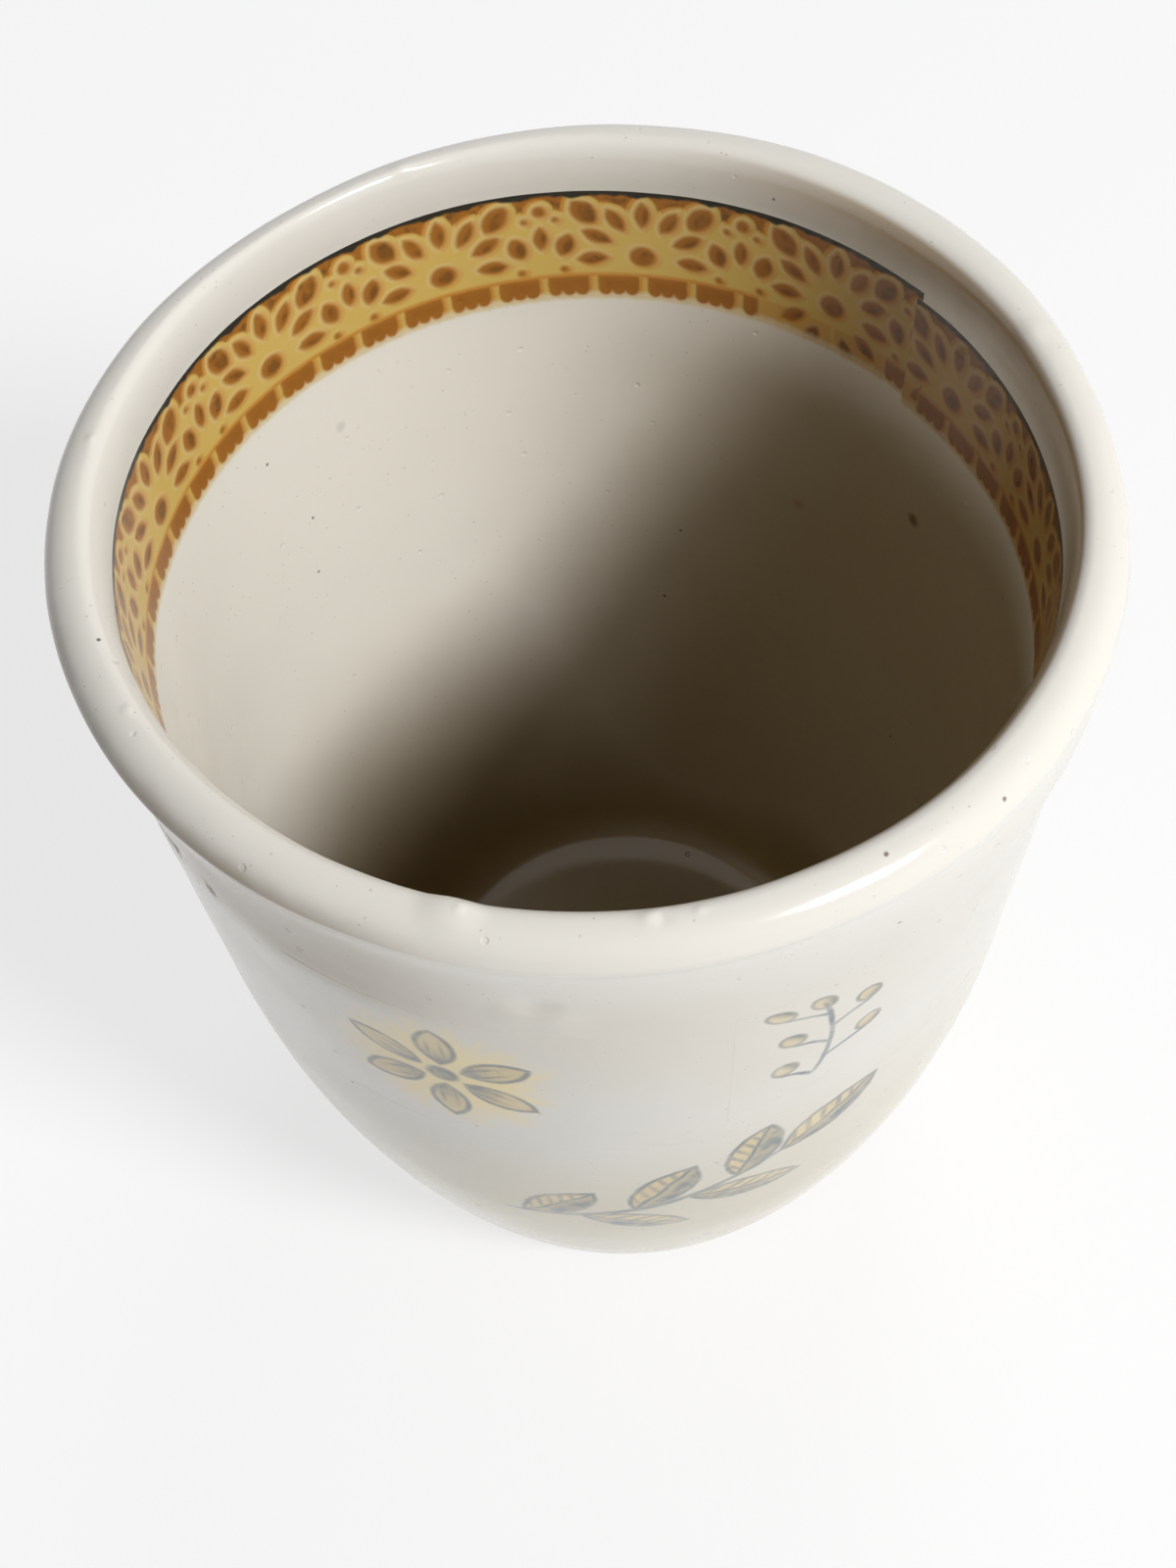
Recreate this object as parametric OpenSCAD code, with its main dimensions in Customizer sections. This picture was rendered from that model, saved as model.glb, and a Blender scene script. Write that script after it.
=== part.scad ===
// Hand-thrown tumbler without a handle: clay body, two coats of clear glaze, a lace border
// of transfer strips inside the mouth and printed transfers on the outside wall.
// Millimetres, +Z up. The origin is the centre of the face that it stands on.

/* [Cup] */
// Height of the finished cup
cup_h = 96; // [75:1:130]
// Outside diameter across the rolled lip
rim_d = 86; // [72:1:110]
// Thickness of the wall with both coats of glaze
wall_t = 3.5; // [2.6:0.1:5]
// Thickness of the floor above the recess of the foot, with its glaze
floor_t = 4; // [3:0.1:7]
// Thickness of each coat of glaze
glaze_t = 0.35; // [0.2:0.05:0.6]

/* [Wall] */
// How far the lip stands proud of the wall below it
lip_proud = 1.7; // [1:0.1:3]
// Depth of the neck below the top of the lip
neck_drop = 8.5; // [7:0.5:12]
// How much nearer the axis the wall comes from the neck to the base
taper = 7.2; // [3:0.1:9]
// Height over which the lower wall rounds in
round_h = 50; // [30:1:55]
// How far the rounded wall draws in at the base
round_in = 9.1; // [5:0.1:12]
// Radius of the corner under the wall
corner_r = 2; // [1.2:0.1:3]
// Rise of the hollow corner between the floor and the wall inside
cove_rise = 2.5; // [1.5:0.1:4]

/* [Lip] */
// Diameter of the roll on the outside of the lip
roll_d = 5.8; // [4.6:0.1:7]
// Radius of the hollow under the roll
hollow_r = 4; // [0.8:0.1:5]
// Height of the slope on the inside of the lip
slope_h = 4.6; // [3.5:0.1:6.5]

/* [Foot ring] */
// Height of the recess inside the foot ring
foot_h = 2; // [1.2:0.1:3]
// Width of the foot ring
foot_w = 4; // [2.5:0.1:6]
// Step from the rounded corner of the wall in to the foot ring
foot_step = 1.3; // [0.6:0.1:3]
// Bevel on both edges of the foot ring
foot_bevel = 0.6; // [0.3:0.1:0.8]

/* [Lace border] */
// Thickness of one layer of printed ink
ink_t = 0.1; // [0.08:0.01:0.15]
// Gap between the slope of the lip and the top of the border
lace_drop = 0.2; // [0.1:0.1:1]
// Height of the dark line along the top
line_h = 0.7; // [0.4:0.1:1]
// Height from the dark line down to the middle of the flowers
flower_drop = 6.5; // [6.3:0.1:7]
// Height from the middle of the flowers down to the top of the dashes
dash_drop = 2.5; // [2.4:0.1:3.2]
// Height of one dash
dash_h = 2.1; // [1.5:0.1:2.6]
// Width of one dash
dash_w = 4.1; // [3.2:0.1:4.3]
// Height of the scalloped fringe under the dashes
fringe_h = 1; // [0.6:0.1:1.5]
// Distance between flowers along the strip
flower_pitch = 18.6; // [18.2:0.1:21]
// Dashes in one flower's length of the strip
dashes_each = 4; // [3:1:4]
// Length of the long strip in flowers
long_flowers = 8; // [6:1:8]
// Direction of the joint where the short strip starts and the long one ends
joint_az = 38; // [0:1:359]
// Distance from the joint to the first flower of the short strip
short_lead = 5; // [4:0.5:14]
// Gap between the ends of the two strips
strip_gap = 0.4; // [0.2:0.1:2]
// How much lower the short strip is stuck
short_drop = 0.9; // [0:0.1:1.5]

/* [Outside transfers] */
// Width of the printed outlines
outline_w = 0.7; // [0.5:0.1:1]
// Direction of the middle of the branch
branch_az = -90; // [-180:1:180]
// Height of the middle of the branch
branch_z = 39; // [36:1:46]
// Radius of the branch's curve
branch_r = 46; // [36:1:60]
// Length of one leaf of the branch
leaf_l = 12; // [8:0.5:14]
// Width of one leaf of the branch
leaf_w = 4.6; // [3:0.1:5.5]
// Direction of the middle of the blossom
blossom_az = -111; // [-180:1:180]
// Height of the middle of the blossom
blossom_z = 68; // [60:1:69]
// Length of one petal of the blossom
petal_l = 7; // [5:0.5:8]
// Width of one petal of the blossom
petal_w = 3.6; // [2.5:0.1:4]
// Diameter of the pale wash behind the blossom
wash_d = 21; // [20:1:24]
// Direction of the middle of the small sprig
sprig_az = -66; // [-180:1:180]
// Height of the middle of the small sprig
sprig_z = 70; // [64:1:72]
// Length of the small sprig
sprig_l = 14; // [10:1:18]

/* [Hidden] */

clay_colour = "#c9bba4";
glaze_colour = "#e6e1d6";
ground_colour = "#9a5a1c";
print_colour = "#dcbd66";
line_colour = "#2c332e";
grey_colour = "#6f7b82";
ochre_colour = "#c6b27c";
wash_colour = "#f0dfa0";

rim_r = rim_d / 2;
roll_r = roll_d / 2;
neck_z = cup_h - neck_drop;
neck_r = rim_r - lip_proud;
floor_z = foot_h + floor_t;
arc_step = 6;
wall_steps = 12;
slope_steps = 10;
turned_fn = 96;
round_fn = 48;

// Outside of the wall, in radius and slope, at a height
function wall_r(z) = neck_r - taper * (1 - z / neck_z)
    - (z < round_h ? round_in * pow(1 - z / round_h, 2) : 0);
function wall_slope(z) = taper / neck_z
    + (z < round_h ? 2 * round_in / round_h * (1 - z / round_h) : 0);
function unit(v) = v / norm(v);
function wall_normal(z) = unit([1, -wall_slope(z)]);
function reversed(list) = [for (i = [len(list) - 1 : -1 : 0]) list[i]];
function angle_of(v) = atan2(v[1], v[0]);

// A surface is a list of [point, normal]. Its points can be moved back along the normals.
function sunk(surface, depth) = [for (s = surface) s[0] - depth * s[1]];
// An arc's normals point out of its circle, or into it where side is -1.
function arc(centre, radius, from, to, side = 1, first = 0) =
    let (n = ceil(abs(to - from) / arc_step))
    [for (i = [first : n]) let (a = from + (to - from) * i / n, d = [cos(a), sin(a)])
        [centre + radius * d, side * d]];

// Rounded corner under the wall, which starts this share of its radius above the foot ring
corner_share = 0.6;
corner_z = foot_h + corner_share * corner_r;
corner_c = [wall_r(corner_z), corner_z] - corner_r * wall_normal(corner_z);
under_z = corner_c[1] - corner_r;

// Roll of the lip and the hollow that joins it to the neck
roll_c = [rim_r - roll_r, cup_h - roll_r];
neck_n = wall_normal(neck_z);
neck_up = [-neck_n[1], neck_n[0]];
hollow_from = [neck_r, neck_z] + hollow_r * neck_n;
hollow_b = (hollow_from - roll_c) * neck_up;
hollow_q = (hollow_from - roll_c) * (hollow_from - roll_c) - pow(roll_r + hollow_r, 2);
hollow_t = -hollow_b - sqrt(hollow_b * hollow_b - hollow_q);
hollow_c = hollow_from + hollow_t * neck_up;
hollow_a = angle_of(hollow_c - roll_c);

// Inside of the upper wall, which is a cone, and the slope of the lip above it
neck_slope = wall_slope(neck_z);
slope_z = cup_h - slope_h;
inner_top_r = wall_r(neck_z) + neck_slope * (slope_z - neck_z) - wall_t * norm([1, neck_slope]);
function cone_r(z) = inner_top_r + neck_slope * (z - slope_z);
slope_w = roll_c[0] - inner_top_r;

// Inside corner between the floor and the wall
cove_z = floor_z + cove_rise;
cove_p = [wall_r(cove_z), cove_z] - wall_t * wall_normal(cove_z);
cove_a = atan2(1, wall_slope(cove_z));
cove_r = (cove_p[1] - floor_z) / (1 - cos(cove_a));
cove_c = [cove_p[0] - cove_r * sin(cove_a), floor_z + cove_r];

// Finished outside, from the corner above the foot up to the crest of the lip
rounded_wall = [for (i = [1 : wall_steps])
    let (z = corner_z + (round_h - corner_z) * i / wall_steps) [[wall_r(z), z], wall_normal(z)]];
hollow = arc(hollow_c, hollow_r, angle_of(-neck_n), hollow_a + 180, -1);
outside = concat(
    arc(corner_c, corner_r, -90, angle_of(wall_normal(corner_z))),
    rounded_wall,
    hollow,
    arc(roll_c, roll_r, hollow_a, 90, first = 1));

// Finished inside, from the crest of the lip down to the middle of the floor
inside = concat(
    [for (i = [0 : slope_steps]) let (a = 90 + 90 * i / slope_steps)
        [[roll_c[0] + slope_w * cos(a), slope_z + slope_h * sin(a)],
            unit([cos(a) / slope_w, sin(a) / slope_h])]],
    [for (i = [wall_steps : -1 : 1]) let (z = cove_z + (round_h - cove_z) * i / wall_steps)
        [[wall_r(z), z] - wall_t * wall_normal(z), -wall_normal(z)]],
    arc(cove_c, cove_r, cove_a - 90, -90, -1, first = 1),
    [[[0, floor_z], [0, 1]]]);

// Foot ring
ring_out = corner_c[0] - foot_step;
ring_in = ring_out - foot_w;
foot_outline = [[0, foot_h], [ring_in, foot_h], [ring_in, foot_bevel], [ring_in + foot_bevel, 0],
    [ring_out - foot_bevel, 0], [ring_out, foot_bevel], [ring_out, under_z + glaze_t]];

module turned(points) {
    rotate_extrude($fn = turned_fn) polygon(points);
}

module clay_body() {
    color(clay_colour)
        turned(concat(foot_outline, sunk(outside, glaze_t), reversed(sunk(reversed(inside), glaze_t))));
}

module inside_glaze() {
    color(glaze_colour) turned(concat(sunk(inside, 0), reversed(sunk(inside, glaze_t))));
}

module outside_glaze() {
    color(glaze_colour) turned(concat(sunk(outside, 0), reversed(sunk(outside, glaze_t))));
}

module disc(r) {
    circle(r, $fn = round_fn);
}

// Pointed oval, standing upright, or the part of it that lies inside its outline
module lens(l, w, inset = 0) {
    r = (l * l + w * w) / (4 * w);
    intersection() {
        translate([r - w / 2, 0]) disc(r - inset);
        translate([w / 2 - r, 0]) disc(r - inset);
    }
}

// Openings of the lace around one flower, whose middle is the origin. Their places and sizes
// follow the pitch: hub, petals, the leaves between two flowers, dots and the gaps between
// the scallops of the upper edge. A leaf has its place, its turn and its length and width.
hub_r = 0.062 * flower_pitch;
side_petals = 3;
petal_turn = 31.3;
petal_at = 0.253 * flower_pitch;
petal_size = [0.156, 0.075] * flower_pitch;
corner_leaf = [[0.285, 0.263] * flower_pitch, 40, [0.17, 0.113] * flower_pitch];
side_leaf = [[0.382, 0.07] * flower_pitch, -20, [0.14, 0.091] * flower_pitch];
upright_leaf = [[0.5, 0.118] * flower_pitch, 0, [0.14, 0.07] * flower_pitch];
small_dot = [[0.392, -0.08] * flower_pitch, 0.019 * flower_pitch];
round_dot = [[0.5, 0.28] * flower_pitch, 0.032 * flower_pitch];
scallop_gaps = [0.08, 0.185, 0.392] * flower_pitch;
scallop_gap_w = 0.064 * flower_pitch;
scallop_gap_h = 0.043 * flower_pitch;
scallop_over = 0.01 * flower_pitch;
module leaf_hole(leaf) {
    translate(leaf[0]) rotate(leaf[1]) lens(leaf[2][0], leaf[2][1]);
}
module flower_holes() {
    disc(hub_r);
    for (k = [-side_petals : side_petals]) rotate(k * petal_turn)
        translate([0, petal_at]) lens(petal_size[0], petal_size[1]);
    for (flip = [0, 1]) mirror([flip, 0, 0]) {
        leaf_hole(corner_leaf);
        leaf_hole(side_leaf);
        translate(small_dot[0]) disc(small_dot[1]);
    }
    leaf_hole(upright_leaf);
    translate(round_dot[0]) disc(round_dot[1]);
}

// Gaps between the scallops of the upper edge, which point down from it
module upper_gaps() {
    half_w = scallop_gap_w / 2;
    for (side = [-1, 1], x = scallop_gaps) translate([side * x, 0])
        polygon([[-half_w, scallop_over], [0, -scallop_gap_h], [half_w, scallop_over]]);
}

// One dash below the flowers: a bar with its lower corners cut and two round lobes under it.
// Sizes are shares of the dash's height, and the lobes' places a share of its width.
bar_share = 0.76;
cut_share = 0.3;
lobe_share = 0.4;
lobe_at = 0.22;
module dash() {
    half_w = dash_w / 2;
    bar = bar_share * dash_h;
    cut = cut_share * dash_h;
    lobe_r = lobe_share * dash_h;
    polygon([[-half_w, 0], [-half_w, cut - bar], [cut - half_w, -bar],
        [half_w - cut, -bar], [half_w, cut - bar], [half_w, 0]]);
    for (side = [-1, 1]) translate([side * lobe_at * dash_w, lobe_r - dash_h]) disc(lobe_r);
}

// Places a flat shape in the wall, at a direction and a height, facing outwards
module press_on(az, z, radius, depth) {
    rotate([90, 0, az + 90]) translate([0, z, radius - depth / 2]) linear_extrude(depth) children();
}

// Band of the cone inside the mouth, between two heights and two layers of ink
module band(from, sweep, low, high, inner_layer, outer_layer) {
    rotate([0, 0, from]) rotate_extrude(angle = sweep, $fn = turned_fn)
        polygon([for (corner = [[low, outer_layer], [low, inner_layer], [high, inner_layer],
            [high, outer_layer]]) [cone_r(corner[0]) - corner[1] * ink_t, corner[0]]]);
}

lace_top = slope_z - lace_drop;
short_top = lace_top - short_drop;
lace_h = line_h + flower_drop + dash_drop + dash_h + fringe_h;
lace_r = cone_r(lace_top - lace_h / 2);
cut_depth = 4;
function turn_of(length) = length / lace_r * 180 / PI;
flower_turn = turn_of(flower_pitch);
dash_turn = flower_turn / dashes_each;
dash_turns = [for (j = [0 : dashes_each - 1]) (j + 0.5 - dashes_each / 2) * dash_turn];
gap_turn = turn_of(strip_gap);
long_sweep = long_flowers * flower_turn;
short_sweep = 360 - long_sweep - 2 * gap_turn;
short_from = joint_az + long_sweep + gap_turn;

module lace_ground(from, sweep, top) {
    band(from, sweep, top - lace_h, top, 1, 0);
}

module lace_line(from, sweep, top) {
    band(from, sweep, top - line_h, top, 2, 1);
}

// Openwork between two directions, with its flowers counted from one of them
module lace_print(from, sweep, top, flowers) {
    flower_z = top - line_h - flower_drop;
    difference() {
        band(from, sweep, top - lace_h, top - line_h, 2, 1);
        for (az = flowers) {
            press_on(az, flower_z, lace_r, cut_depth) flower_holes();
            press_on(az, top - line_h, lace_r, cut_depth) upper_gaps();
            for (turn = dash_turns)
                press_on(az + turn, flower_z - dash_drop, lace_r, cut_depth) dash();
        }
    }
}
long_flower_az = [for (i = [0 : long_flowers - 1]) joint_az + (i + 0.5) * flower_turn];
short_flower_az = [for (i = [0 : ceil(short_sweep / flower_turn)])
    let (az = joint_az - gap_turn - turn_of(short_lead) - i * flower_turn)
    if (az > joint_az - gap_turn - short_sweep - flower_turn / 2) az];

module lace_ground_long() {
    color(ground_colour) lace_ground(joint_az, long_sweep, lace_top);
}

module lace_print_long() {
    color(print_colour) lace_print(joint_az, long_sweep, lace_top, long_flower_az);
}

module lace_line_long() {
    color(line_colour) lace_line(joint_az, long_sweep, lace_top);
}

module lace_ground_short() {
    color(ground_colour) lace_ground(short_from, short_sweep, short_top);
}

module lace_print_short() {
    color(print_colour) lace_print(short_from, short_sweep, short_top, short_flower_az);
}

module lace_line_short() {
    color(line_colour) lace_line(short_from, short_sweep, short_top);
}

// Film of ink on the outside of the wall, kept to what is pressed on at a direction and a height
wall_surface = concat(rounded_wall, [hollow[0]]);
press_depth = 12;
module outside_ink(az, z) {
    intersection() {
        turned(concat(sunk(wall_surface, 0), reversed(sunk(wall_surface, -ink_t))));
        press_on(az, z, wall_r(z), press_depth) children();
    }
}

// Branch: a curved stem with leaves on alternate sides and one at its tip
branch_tilt = 22;
leaf_turn = 6.6;
leaf_splay = 40;
stem_ends = [-20, 19];
side_leaves = 2;
stem_reach = 1.2;
module on_branch(t) {
    rotate(branch_tilt) translate([0, branch_r]) rotate(t) translate([0, -branch_r]) children();
}
module branch_stem() {
    rotate(branch_tilt) translate([0, branch_r]) intersection() {
        difference() {
            disc(branch_r + outline_w / 2);
            disc(branch_r - outline_w / 2);
        }
        polygon([[0, 0],
            for (t = [stem_ends[0], 0, stem_ends[1]]) stem_reach * branch_r * [sin(t), -cos(t)]]);
    }
}
module branch_leaf_shapes(inset) {
    for (k = [-side_leaves : side_leaves]) on_branch(k * leaf_turn)
        rotate((k % 2 == 0 ? leaf_splay : -leaf_splay) - 90)
            translate([0, leaf_l / 2]) lens(leaf_l, leaf_w, inset);
    on_branch(stem_ends[1]) rotate(-90) translate([0, leaf_l / 2]) lens(leaf_l, leaf_w, inset);
}

module branch_outline() {
    color(grey_colour) outside_ink(branch_az, branch_z) union() {
        difference() {
            branch_leaf_shapes(0);
            branch_leaf_shapes(outline_w);
        }
        branch_stem();
    }
}

module branch_leaves() {
    color(ochre_colour) outside_ink(branch_az, branch_z) branch_leaf_shapes(outline_w);
}

// Blossom: six petals round a small eye, on a round pale wash
petals = 6;
eye_r = 1.4;
petal_from = eye_r + 0.4;
module petal_shapes(inset) {
    for (k = [0 : petals - 1]) rotate(k * 360 / petals)
        translate([0, petal_from + petal_l / 2]) lens(petal_l, petal_w, inset);
}

module blossom_petals() {
    color(ochre_colour) outside_ink(blossom_az, blossom_z) petal_shapes(outline_w);
}

module blossom_outline() {
    color(grey_colour) outside_ink(blossom_az, blossom_z) union() {
        difference() {
            petal_shapes(0);
            petal_shapes(outline_w);
        }
        disc(eye_r);
    }
}

module blossom_wash() {
    color(wash_colour) outside_ink(blossom_az, blossom_z) difference() {
        disc(wash_d / 2);
        petal_shapes(0);
        disc(eye_r);
    }
}

// Sprig: an upright stalk with round buds at the ends of short side stalks
bud_r = 1.1;
stalk_l = 4;
stalks = 5;
stalk_splay = 55;
module at_stalks() {
    for (k = [0 : stalks - 1]) translate([0, sprig_l * (k / stalks - 0.5)])
        rotate(k % 2 == 0 ? stalk_splay : -stalk_splay) children();
}

module sprig_stalks() {
    square([outline_w, sprig_l], center = true);
    at_stalks() translate([-outline_w / 2, 0]) square([outline_w, stalk_l]);
}
module sprig_bud_shapes() {
    at_stalks() translate([0, stalk_l + bud_r / 2]) disc(bud_r);
    translate([0, sprig_l / 2]) disc(bud_r);
}

module sprig_outline() {
    color(grey_colour) outside_ink(sprig_az, sprig_z) difference() {
        sprig_stalks();
        sprig_bud_shapes();
    }
}

module sprig_buds() {
    color(ochre_colour) outside_ink(sprig_az, sprig_z) sprig_bud_shapes();
}

clay_body();
inside_glaze();
outside_glaze();
lace_ground_long();
lace_print_long();
lace_line_long();
lace_ground_short();
lace_print_short();
lace_line_short();
branch_outline();
branch_leaves();
blossom_wash();
blossom_petals();
blossom_outline();
sprig_outline();
sprig_buds();
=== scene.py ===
# Hand-thrown tumbler without a handle: pale clay under clear glaze, a lace border of
# transfer strips inside the mouth, and soft leafy transfers on the outside of the wall.
# Lengths are in millimetres until they go through MM, and angles are in degrees.
import math

import bpy
import numpy as np
from mathutils import Matrix, Vector


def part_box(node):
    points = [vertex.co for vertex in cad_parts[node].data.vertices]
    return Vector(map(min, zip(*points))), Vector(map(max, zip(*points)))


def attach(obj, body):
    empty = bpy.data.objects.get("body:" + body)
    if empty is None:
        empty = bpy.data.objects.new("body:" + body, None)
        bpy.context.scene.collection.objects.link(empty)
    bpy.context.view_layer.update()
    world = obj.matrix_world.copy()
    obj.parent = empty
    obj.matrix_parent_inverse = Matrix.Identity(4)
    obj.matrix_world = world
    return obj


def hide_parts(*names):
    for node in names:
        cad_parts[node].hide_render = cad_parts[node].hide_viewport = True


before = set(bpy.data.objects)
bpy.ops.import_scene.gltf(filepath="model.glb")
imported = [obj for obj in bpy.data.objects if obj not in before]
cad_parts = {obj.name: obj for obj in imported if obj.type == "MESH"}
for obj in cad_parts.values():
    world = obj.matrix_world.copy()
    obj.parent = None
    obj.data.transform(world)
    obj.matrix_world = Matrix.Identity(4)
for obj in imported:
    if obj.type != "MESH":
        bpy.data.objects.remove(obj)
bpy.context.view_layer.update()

MM = 0.001

# Sizes of the cup, as in the frame
glaze_low, glaze_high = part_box("outside_glaze")
cup_h = glaze_high.z / MM
rim_r = (glaze_high.x - glaze_low.x) / 2 / MM
glaze_t = 0.35
floor_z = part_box("inside_glaze")[0].z / MM + glaze_t
foot_h = 2.0
wall_t = 3.5
lip_proud = 1.7
neck_drop = 8.5
taper = 7.2
round_h = 50.0
round_in = 9.1
corner_r = 2.0
cove_rise = 2.5
roll_r = 2.9
hollow_r = 4.0
slope_h = 4.6
foot_w = 4.0
foot_step = 1.3
foot_bevel = 0.6

neck_z = cup_h - neck_drop
neck_r = rim_r - lip_proud
slope_z = cup_h - slope_h

# The inner slope of the lip is a little squarer than the quarter of an ellipse, whose power is 1
SQUARED = 0.86
# Share of the corner's radius, above the foot, at which the wall turns into the corner
CORNER_START = 0.6

# Steps of the turned meshes: faces in a turn, millimetres of wall and degrees of an arc
AROUND = 400
TURN_STEP = 360 / AROUND
WALL_STEP = 2.0
FLOOR_STEP = 8.0
LIP_STEP = 5.0
CORNER_STEP = 15.0
CREST_LAND = 0.1
MERGED = 0.004
SMOOTH_ANGLE = 40

# The thrown shape leans to the left, is pressed out of round and waves a little. A press
# has its direction, its width in degrees and how far it moves the lip out. A wave has its
# length and how far it moves the wall.
LEAN_TOP = -0.6
LEAN_FOOT = 0.9
PRESSED_MOUTH = ((45, 35, -0.85), (0, 28, -0.4))
PRESSED_LIP = ((128, 32, -1.0), (2, 28, -0.3), (48, 30, 1.0))
BROAD_WAVE = 26.0
WAVES = (("broad wave", BROAD_WAVE, 0.3), ("fine wave", 9.0, 0.12))


# Outline of the cup in radius and height

def wall_r(z):
    rounding = round_in * (1 - z / round_h) ** 2 if z < round_h else 0
    return neck_r - taper * (1 - z / neck_z) - rounding


def wall_slope(z):
    rounding = 2 * round_in / round_h * (1 - z / round_h) if z < round_h else 0
    return taper / neck_z + rounding


def wall_point(z):
    return Vector((wall_r(z), z)), Vector((1, -wall_slope(z))).normalized()


def direction(angle):
    """Unit vector at an angle from the first axis."""
    return Vector((math.cos(math.radians(angle)), math.sin(math.radians(angle))))


def angle_of(v):
    return math.degrees(math.atan2(v.y, v.x))


def arc(centre, radius, start, end, step, side=1):
    """Points and normals along an arc; side -1 turns the normals into its circle."""
    count = math.ceil(abs(end - start) / step)
    angles = [start + (end - start) * i / count for i in range(count + 1)]
    return [(centre + radius * direction(a), side * direction(a)) for a in angles]


def steps_between(low, high, step):
    count = math.ceil(abs(high - low) / step)
    return [low + (high - low) * i / count for i in range(count + 1)]


def sunk(surface, depth):
    """Outline that lies a depth under a surface of points and normals."""
    return [point - depth * normal for point, normal in surface]


corner_z = foot_h + CORNER_START * corner_r
corner_point, corner_normal = wall_point(corner_z)
corner_c = corner_point - corner_r * corner_normal
under_z = corner_c.y - corner_r

neck_point, neck_normal = wall_point(neck_z)
neck_up = Vector((-neck_normal.y, neck_normal.x))
roll_c = Vector((rim_r - roll_r, cup_h - roll_r))
hollow_from = neck_point + hollow_r * neck_normal
along = (hollow_from - roll_c).dot(neck_up)
across = (hollow_from - roll_c).length_squared - (roll_r + hollow_r) ** 2
hollow_c = hollow_from + (-along - math.sqrt(along * along - across)) * neck_up
hollow_a = angle_of(hollow_c - roll_c)

neck_slope = wall_slope(neck_z)
wall_width = wall_t * math.hypot(1, neck_slope)
inner_top_r = wall_r(neck_z) + neck_slope * (slope_z - neck_z) - wall_width


def cone_r(z):
    return inner_top_r + neck_slope * (z - slope_z)


slope_w = roll_c.x - inner_top_r
cove_z = floor_z + cove_rise
cove_wall, cove_normal = wall_point(cove_z)
cove_point = cove_wall - wall_t * cove_normal
cove_a = math.degrees(math.atan2(1, wall_slope(cove_z)))
cove_r = (cove_point.y - floor_z) / (1 - math.cos(math.radians(cove_a)))
cove_c = Vector((cove_point.x - cove_r * math.sin(math.radians(cove_a)), floor_z + cove_r))

belly_heights = steps_between(corner_z, round_h, WALL_STEP)
wall_heights = belly_heights + steps_between(round_h, neck_z, WALL_STEP)[1:]
outer_wall = [wall_point(z) for z in wall_heights]
up = Vector((0, 1))
crest = Vector((roll_c.x, cup_h))


def outside_surface():
    """Finished outside, from the corner above the foot to the crest of the lip."""
    corner = arc(corner_c, corner_r, -90, angle_of(corner_normal), CORNER_STEP)
    hollow = arc(hollow_c, hollow_r, angle_of(-neck_normal), hollow_a + 180, LIP_STEP, -1)
    roll = arc(roll_c, roll_r, hollow_a, 90, LIP_STEP)
    land = [(crest + Vector((CREST_LAND, 0)), up), (crest, up)]
    return corner[:-1] + outer_wall + hollow[1:] + roll[1:-1] + land


def inside_heights():
    lower = steps_between(round_h, cove_z, WALL_STEP)
    return steps_between(slope_z, round_h, WALL_STEP)[:-1] + lower


def inner_point(z):
    if z >= round_h:
        return Vector((cone_r(z), z)), Vector((-1, neck_slope)).normalized()
    point, normal = wall_point(z)
    return point - wall_t * normal, -normal


def inside_surface():
    """Finished inside, from the crest of the lip to the middle of the floor."""
    land = [(crest, up), (crest - Vector((CREST_LAND, 0)), up)]
    slope = []
    for a in steps_between(90, 180, LIP_STEP):
        in_x, up_z = abs(math.cos(math.radians(a))), math.sin(math.radians(a))
        point = Vector((roll_c.x - slope_w * in_x ** SQUARED, slope_z + slope_h * up_z ** SQUARED))
        normal = Vector((-in_x ** (2 - SQUARED) / slope_w, up_z ** (2 - SQUARED) / slope_h))
        slope.append((point, normal.normalized()))
    cove = arc(cove_c, cove_r, cove_a - 90, -90, CORNER_STEP, -1)
    wall = [inner_point(z) for z in inside_heights()]
    rings = [(Vector((r, floor_z)), up) for r in steps_between(cove_c.x, 0, FLOOR_STEP)[1:]]
    return land + slope[1:-1] + wall + cove[1:] + rings


# Meshes, modelled with Blender's own tools

def select_only(piece):
    bpy.ops.object.select_all(action="DESELECT")
    piece.select_set(True)
    bpy.context.view_layer.objects.active = piece


def start_point(place):
    bpy.ops.object.select_all(action="DESELECT")
    bpy.ops.mesh.primitive_plane_add(size=MM)
    piece = bpy.context.object
    bpy.ops.object.mode_set(mode="EDIT")
    bpy.ops.mesh.select_all(action="SELECT")
    bpy.ops.mesh.merge(type="CENTER")
    bpy.ops.transform.translate(value=place)
    return piece


def lathed(name, outline, start=0.0, sweep=360.0, closed=False):
    """Solid turned from an outline of radius and height. A partial turn needs a closed outline."""
    side = Vector((*direction(start), 0))
    places = [(side * p.x + Vector((0, 0, p.y))) * MM for p in outline]
    piece = start_point(places[0])
    piece.name = piece.data.name = name
    for a, b in zip(places, places[1:]):
        bpy.ops.mesh.extrude_region_move(TRANSFORM_OT_translate={"value": b - a})
    bpy.ops.mesh.select_all(action="SELECT")
    if closed:
        bpy.ops.mesh.edge_face_add()
        if sweep == 360:
            bpy.ops.mesh.delete(type="ONLY_FACE")
            bpy.ops.mesh.select_all(action="SELECT")
    bpy.ops.mesh.spin(steps=round(AROUND * sweep / 360), angle=-math.radians(sweep),
        center=(0, 0, 0), axis=(0, 0, 1))
    bpy.ops.mesh.select_all(action="SELECT")
    bpy.ops.mesh.remove_doubles(threshold=MERGED * MM)
    bpy.ops.mesh.normals_make_consistent(inside=False)
    bpy.ops.object.mode_set(mode="OBJECT")
    bpy.ops.object.shade_smooth_by_angle(angle=math.radians(SMOOTH_ANGLE))
    return piece


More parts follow.
